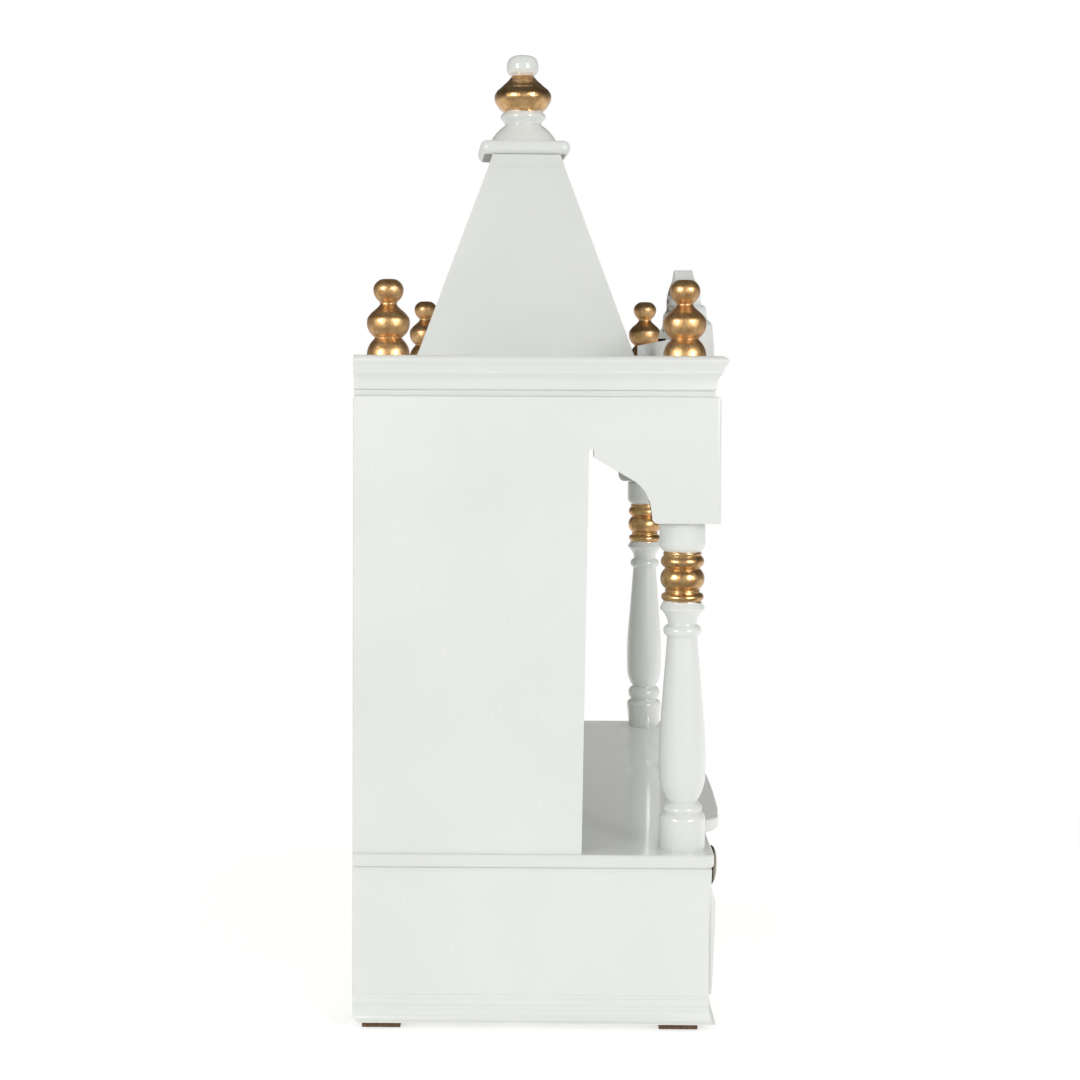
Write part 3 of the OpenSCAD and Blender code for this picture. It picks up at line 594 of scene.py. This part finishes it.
def shelfShape(values):
    # the shelf's plan drawn from the middle of its front to the wall, mirrored, and its edge eased above
    # and rounded below; the side against the wall stays square
    low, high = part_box("plinth_top")
    depth = (high.y - low.y) / mm - values["tongue"]
    rows = [(across, depth + out, bulge) for across, out, bulge in values["plan"]] + [(values["plan"][-1][0], 0, 0)]
    half = roundedOutline(rows)
    plan = [(-p.x, p.y) for p in reversed(half[1:])] + [(p.x, p.y) for p in half]
    bm = bmesh.new()
    base = bm.faces.new([bm.verts.new((x * mm, high.y - d * mm, low.z)) for x, d in plan])
    grown = bmesh.ops.extrude_face_region(bm, geom=[base], use_keep_orig=True)
    bmesh.ops.translate(bm, verts=[v for v in grown["geom"] if isinstance(v, bmesh.types.BMVert)],
                        vec=(0, 0, high.z - low.z))
    bmesh.ops.recalc_face_normals(bm, faces=bm.faces)
    for level, size, segments in ((high.z, values["arris"], 4), (low.z, values["underRound"], 7)):
        rim = [edge for edge in bm.edges if all(abs(v.co.z - level) < 0.01 * mm for v in edge.verts)
               and not all(abs(v.co.y - high.y) < 0.01 * mm for v in edge.verts)]
        bmesh.ops.bevel(bm, geom=rim, offset=size, offset_type="OFFSET", segments=segments, profile=0.5,
                        affect="EDGES", material=-1)
    bm.normal_update()
    return bm


shelf = shelfShape(shelfValues)
coatFaces(shelf, Vector((0, 0, -1)))
keepPiece("shelfBoard", shelf, "case", [shelfLacquer, hiddenCoat], ["plinth_top"])

crest = boardShape("crest")
coatFaces(crest, Vector((0, 1, 0)))
coatFaces(crest, Vector((0, 0, -1)), 2)
keepPiece("crestBoard", crest, "case", [panelLacquer, streakedBack, hiddenCoat], ["crest"], 1.6 * mm)

capValues = {
    "side": 83.5 * mm,
    "thick": 13.5 * mm,
    "turn": 3.2,  # degrees
    "cornerRadius": 8 * mm,
    "noseRadius": 6.2 * mm,
}


def capSlab(values):
    # a square slab with rounded corners and a full nose all round
    low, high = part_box("spire_cap")
    centre = (low + high) / 2
    bm = bmesh.new()
    bmesh.ops.create_cube(bm, size=1.0)
    bmesh.ops.scale(bm, verts=bm.verts, vec=(values["side"], values["side"], values["thick"]))
    upright = [edge for edge in bm.edges if abs(edge.verts[0].co.z - edge.verts[1].co.z) > mm]
    bmesh.ops.bevel(bm, geom=upright, offset=values["cornerRadius"], offset_type="OFFSET", segments=8, profile=0.5,
                    affect="EDGES", material=-1)
    rims = [edge for edge in bm.edges if abs(edge.verts[0].co.z - edge.verts[1].co.z) < 0.1 * mm
            and any(abs(face.normal.z) > 0.9 for face in edge.link_faces)
            and any(abs(face.normal.z) < 0.1 for face in edge.link_faces)]
    bmesh.ops.bevel(bm, geom=rims, offset=values["noseRadius"], offset_type="OFFSET", segments=8, profile=0.5,
                    affect="EDGES", material=-1)
    bm.normal_update()
    coatFaces(bm, Vector((0, 0, -1)))
    bmesh.ops.rotate(bm, verts=bm.verts, cent=(0, 0, 0), matrix=Matrix.Rotation(math.radians(values["turn"]), 3, "Z"))
    bmesh.ops.translate(bm, verts=bm.verts, vec=centre)
    return bm


# the slab's underside gets the darker grey: partly bare board, partly painted shade
keepPiece("spireCapSlab", capSlab(capValues), "case", [panelLacquer, shadedSawnUnderside], ["spire_cap"])

fillerValues = {
    "spireTopHalf": 31.5 * mm,  # half the spire's width at its top
    "drop": 12 * mm,  # down the spire board
    "inset": 1.0 * mm,  # back from the slab's face
    "bead": 1.8 * mm,
}


def capFiller(values, side):
    # filler smoothed from the slab's lower edge down onto the spire board, so the two read as one face
    low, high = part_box("spire_left" if side < 0 else "spire_right")
    capLow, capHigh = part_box("spire_cap")
    middle = Vector((0, (low.y + high.y) / 2, high.z))
    top = values["spireTopHalf"]
    foot = max(abs(low.x), abs(high.x))
    down = top + (foot - top) * values["drop"] / (high.z - low.z)
    turn = Matrix.Rotation(math.radians(capValues["turn"]), 3, "Z")
    slabMiddle = (capLow + capHigh) / 2
    bm = bmesh.new()
    for end in (-1, 1):
        face = turn @ Vector((side * (capValues["side"] / 2 - values["inset"]), end * top, 0))
        bm.verts.new((slabMiddle.x + face.x, middle.y + end * top, high.z))
        bm.verts.new(middle + Vector((side * (top - 1 * mm), end * top, 0)))
        bm.verts.new(middle + Vector((side * down, end * down, -values["drop"])))
    bmesh.ops.convex_hull(bm, input=bm.verts)
    return bm


for side, pieceName in ((-1, "capFillerLeft"), (1, "capFillerRight")):
    keepPiece(pieceName, capFiller(fillerValues, side), "case", [panelLacquer], [])


def sideBead(values, side):
    # paint gathered in the corner under the shelf's rounded edge
    low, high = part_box("plinth_left_side" if side < 0 else "plinth_right_side")
    face = low.x if side < 0 else high.x
    size = values["bead"]
    bm = bmesh.new()
    for y in (low.y + 1 * mm, high.y - 0.5 * mm):
        for out, up in ((-1 * mm, -size), (0.05 * mm, -size), (size * 0.85, size * 0.6), (-1 * mm, size * 0.6)):
            bm.verts.new((face + side * out, y, high.z + up))
    bmesh.ops.convex_hull(bm, input=bm.verts)
    return bm


for side, pieceName in ((-1, "shelfBeadLeft"), (1, "shelfBeadRight")):
    keepPiece(pieceName, sideBead(fillerValues, side), "case", [panelLacquer], [])

drawerBoards = {
    "drawer_front": ("drawerFrontBoard", 0.9, None),
    "drawer_left_side": ("drawerLeftBoard", 0.6, None),
    "drawer_right_side": ("drawerRightBoard", 0.6, None),
    "drawer_back": ("drawerBackBoard", 0.6, None),
    "drawer_bottom": ("drawerFloorBoard", 0.4, (0, 0, -1)),
}

for part, (pieceName, radius, under) in drawerBoards.items():
    bm = boardShape(part)
    if under:
        coatFaces(bm, Vector(under))
    keepPiece(pieceName, bm, "drawer", [panelLacquer, hiddenCoat], [part], radius * mm)

footNames = {
    "foot_rear_left": "footBlockRearLeft", "foot_rear_right": "footBlockRearRight",
    "foot_front_left": "footBlockFrontLeft", "foot_front_right": "footBlockFrontRight",
}

for part, pieceName in footNames.items():
    bm = boardShape(part)
    keepPiece(pieceName, bm, "case", [footBoard], [part], 0.5 * mm)
print("shrine: boards dressed")

screwValues = {
    "headRadius": 4.1 * mm,
    "headHeight": 2.6 * mm,
    "shankRadius": 2.1 * mm,
    "standing": 4.1 * mm,  # top of the head above the batten
    "taper": 0.84,  # radius of the crown to that of the head
    "recess": 1.6 * mm,
}


def screwHead(values):
    # a black pan head left standing a little proud on its shank, with a recess pressed into the top
    top, under = values["standing"], values["standing"] - values["headHeight"]
    bm = bmesh.new()
    crown = values["headRadius"] * values["taper"]
    bmesh.ops.create_cone(bm, cap_ends=True, segments=40, radius1=values["headRadius"], radius2=crown,
                          depth=values["headHeight"])
    bmesh.ops.translate(bm, verts=bm.verts, vec=(0, 0, (top + under) / 2))
    face = [face for face in bm.faces if face.normal.z > 0.9]
    bmesh.ops.inset_region(bm, faces=face, thickness=crown - values["recess"], depth=0.0)
    bmesh.ops.inset_region(bm, faces=face, thickness=0.4 * mm, depth=-1.0 * mm)
    shank = bmesh.ops.create_cone(bm, cap_ends=True, segments=24, radius1=values["shankRadius"],
                                  radius2=values["shankRadius"], depth=under + 1.2 * mm)
    bmesh.ops.translate(bm, verts=shank["verts"], vec=(0, 0, under / 2 - 0.5 * mm))
    return bm


battenLow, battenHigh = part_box("crest_batten")
bm = screwHead(screwValues)
bmesh.ops.translate(bm, verts=bm.verts, vec=(0, (battenLow.y + battenHigh.y) / 2, battenHigh.z))
keepPiece("battenScrew", bm, "case", [screwBlack], [], 0.25 * mm)


def softened(points, spacing, passes):
    # the outline at even spacing with its creases eased, as thick paint fills them; the foot stays crisp
    even = [points[0]]
    for start, end in zip(points, points[1:]):
        pieces = max(1, round((end - start).length / spacing))
        even += [start.lerp(end, i / pieces) for i in range(1, pieces + 1)]
    for turn in range(passes):
        even = [even[0]] + [here if here.y < points[0].y + 0.01 else (before + 2 * here + after) / 4
                            for before, here, after in zip(even, even[1:], even[2:])] + [even[-1]]
    return even


def turnedShape(rows, easing, around=96):
    # the outline spun on the lathe, about Z at the origin
    bm = bmesh.new()
    outline = softened(roundedOutline(rows), *easing)
    verts = [bm.verts.new((p.x * mm, 0, p.y * mm)) for p in outline]
    edges = [bm.edges.new(pair) for pair in zip(verts, verts[1:])]
    bmesh.ops.spin(bm, geom=verts + edges, cent=(0, 0, 0), axis=(0, 0, 1), angle=math.tau, steps=around,
                   use_merge=True, use_duplicate=False)
    bmesh.ops.remove_doubles(bm, verts=bm.verts, dist=0.01 * mm)
    bmesh.ops.recalc_face_normals(bm, faces=bm.faces)
    return bm


columnValues = {
    # radius and height in mm, then the bulge of the stretch to the next row
    "rows": [(0, 0, 0), (18.2, 0, 0), (18.4, 22.5, -1.7), (14.6, 29.6, 0), (14.7, 30.4, -0.9), (15.6, 34.4, -0.5),
             (11.4, 38.2, 0), (11.7, 38.6, -1), (18.4, 55.6, -0.6), (18.3, 96.5, 0), (12.3, 172.2, 0),
             (12.3, 172.6, -3.5), (11.8, 182, 0), (11.7, 184.2, 1), (17.9, 194.6, -0.3), (17.9, 196.2, 0),
             (15.4, 200.9, 0), (15, 201.4, -3), (13.6, 208, 0), (13.8, 208.6, -0.5), (13.6, 210.6, 0),
             (13.6, 211, -4.2), (14, 227.6, 0), (14, 228.4, -3.2), (15, 238, 0), (15.1, 238.4, -0.7),
             (14.6, 241.4, 0), (15.1, 241.8, -1.4), (18.6, 249.5, 0), (18.6, 264, -0.3), (17.4, 265.5, 0),
             (0, 265.5, 0)],
    "rightFoot": [(0, 0, 0), (16.2, 0, 0), (18.3, 22.3, -1.6), (14.4, 28.9, 0), (14.2, 29.7, -1.2), (16.9, 38.1, -1),
                  (12.4, 43.1, 0), (12.4, 43.6, -1), (18.2, 58.3, -0.5)],  # turned by hand, not quite like its twin
    "easing": (0.7, 2),  # spacing in mm and rounds of smoothing
    "leftLean": 0.25,  # degrees, top towards the wall
}

leftRows = columnValues["rows"]
rightRows = columnValues["rightFoot"] + leftRows[len(columnValues["rightFoot"]):]
columns = {
    "left_column": ("leftTurnedColumn", leftRows, columnValues["leftLean"]),
    "right_column": ("rightTurnedColumn", rightRows, 0.0),
}

for part, (pieceName, rows, lean) in columns.items():
    low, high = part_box(part)
    bm = turnedShape(rows, columnValues["easing"])
    bmesh.ops.rotate(bm, verts=bm.verts, cent=(0, 0, 0), matrix=Matrix.Rotation(math.radians(-lean), 3, "X"))
    bmesh.ops.translate(bm, verts=bm.verts, vec=((low.x + high.x) / 2, (low.y + high.y) / 2, low.z))
    keepPiece(pieceName, bm, "case", [columnPaint], [part])

finialValues = {
    "rows": [(0, 0, 0), (17.4, 0, 0), (17.1, 3.2, -1), (11.2, 13, 0.2), (11.1, 14.2, -2), (17.3, 26.6, -0.7),
             (15.2, 31.9, -0.3), (11.3, 35.8, 0), (7.9, 39, 0.4), (6.6, 41.3, 0.3), (7.6, 43, -1), (12.2, 51.6, -0.5),
             (11, 56.6, -0.3), (8.6, 59.2, -0.3), (5.6, 61, 0), (0, 61.2, 0)],
    "easing": (0.5, 12),  # thick with gold, so the creases are nearly filled
}

finialNames = {
    "finial_rear_left": "finialRearLeft", "finial_rear_right": "finialRearRight",
    "finial_front_left": "finialFrontLeft", "finial_front_right": "finialFrontRight",
}

for part, pieceName in finialNames.items():
    low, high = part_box(part)
    bm = turnedShape(finialValues["rows"], finialValues["easing"])
    bmesh.ops.translate(bm, verts=bm.verts, vec=((low.x + high.x) / 2, (low.y + high.y) / 2, low.z))
    keepPiece(pieceName, bm, "case", [goldLeaf], [part])

kalashValues = {
    "rows": [(0, -2, 0), (32, -2, 0), (32, 0.6, -1.8), (16.7, 18, 0), (16.9, 18.8, 0.6), (21.8, 24.4, -0.7),
             (18.6, 29.6, 0), (17.7, 30.3, -0.9), (23.6, 36, -0.4), (26.6, 41.6, -0.3), (26.8, 45, -0.4),
             (25.6, 48.3, -0.6), (21.4, 52.8, 0), (16.7, 57.4, 0.3), (12.5, 61.6, 0.2), (10.1, 64.4, 0),
             (10.1, 64.9, -0.8), (14.3, 67.8, -0.4), (14.9, 73, -0.4), (13.8, 78.4, -0.4), (11.3, 81.5, -0.4),
             (6, 83.4, 0), (0, 83.7, 0)],
    "easing": (0.5, 9),
    "lean": -0.8,  # degrees, towards the wall
}

low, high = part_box("kalash")
capLow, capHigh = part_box("spire_cap")
bm = turnedShape(kalashValues["rows"], kalashValues["easing"])
bmesh.ops.rotate(bm, verts=bm.verts, cent=(0, 0, 0),
                 matrix=Matrix.Rotation(math.radians(kalashValues["lean"]), 3, "X"))
bmesh.ops.translate(bm, verts=bm.verts, vec=((capLow.x + capHigh.x) / 2, (capLow.y + capHigh.y) / 2, low.z))
bmesh.ops.bisect_plane(bm, geom=bm.verts[:] + bm.edges[:] + bm.faces[:], plane_co=(0, 0, low.z), plane_no=(0, 0, -1),
                       clear_outer=True)
bmesh.ops.holes_fill(bm, edges=[edge for edge in bm.edges if edge.is_boundary])
keepPiece("kalashFinial", bm, "case", [kalashPaint], ["kalash"])

knobValues = {
    "radius": 18.6,  # in mm
    "reach": 27.3,  # in mm, from the drawer front
    "nod": 3.0,  # degrees, face turned up
    "drop": 0.5,  # in mm, below its screw
    # shares of radius and reach, then the bulge in mm
    "rows": [(0, 0, 0), (0.55, 0, 0), (0.55, 0.06, 0), (0.38, 0.16, 0.8), (0.40, 0.45, 1.2), (0.94, 0.66, -0.8),
             (1, 0.76, -0.7), (0.88, 0.9, -0.6), (0.4, 0.98, -0.1), (0, 1, 0)],
    "easing": (0.5, 3),
}

rows = [(r * knobValues["radius"], h * knobValues["reach"], bulge) for r, h, bulge in knobValues["rows"]]
bm = turnedShape(rows, knobValues["easing"])
bmesh.ops.rotate(bm, verts=bm.verts, cent=(0, 0, 0),
                 matrix=Matrix.Rotation(math.radians(90 + knobValues["nod"]), 3, "X"))
bmesh.ops.translate(bm, verts=bm.verts, vec=((knobLow.x + knobHigh.x) / 2, knobHigh.y + 0.6 * mm,
                                             (knobLow.z + knobHigh.z) / 2 - knobValues["drop"] * mm))
keepPiece("drawerKnob", bm, "drawer", [knobMetal], ["drawer_knob"])
print("shrine: turned pieces dressed")
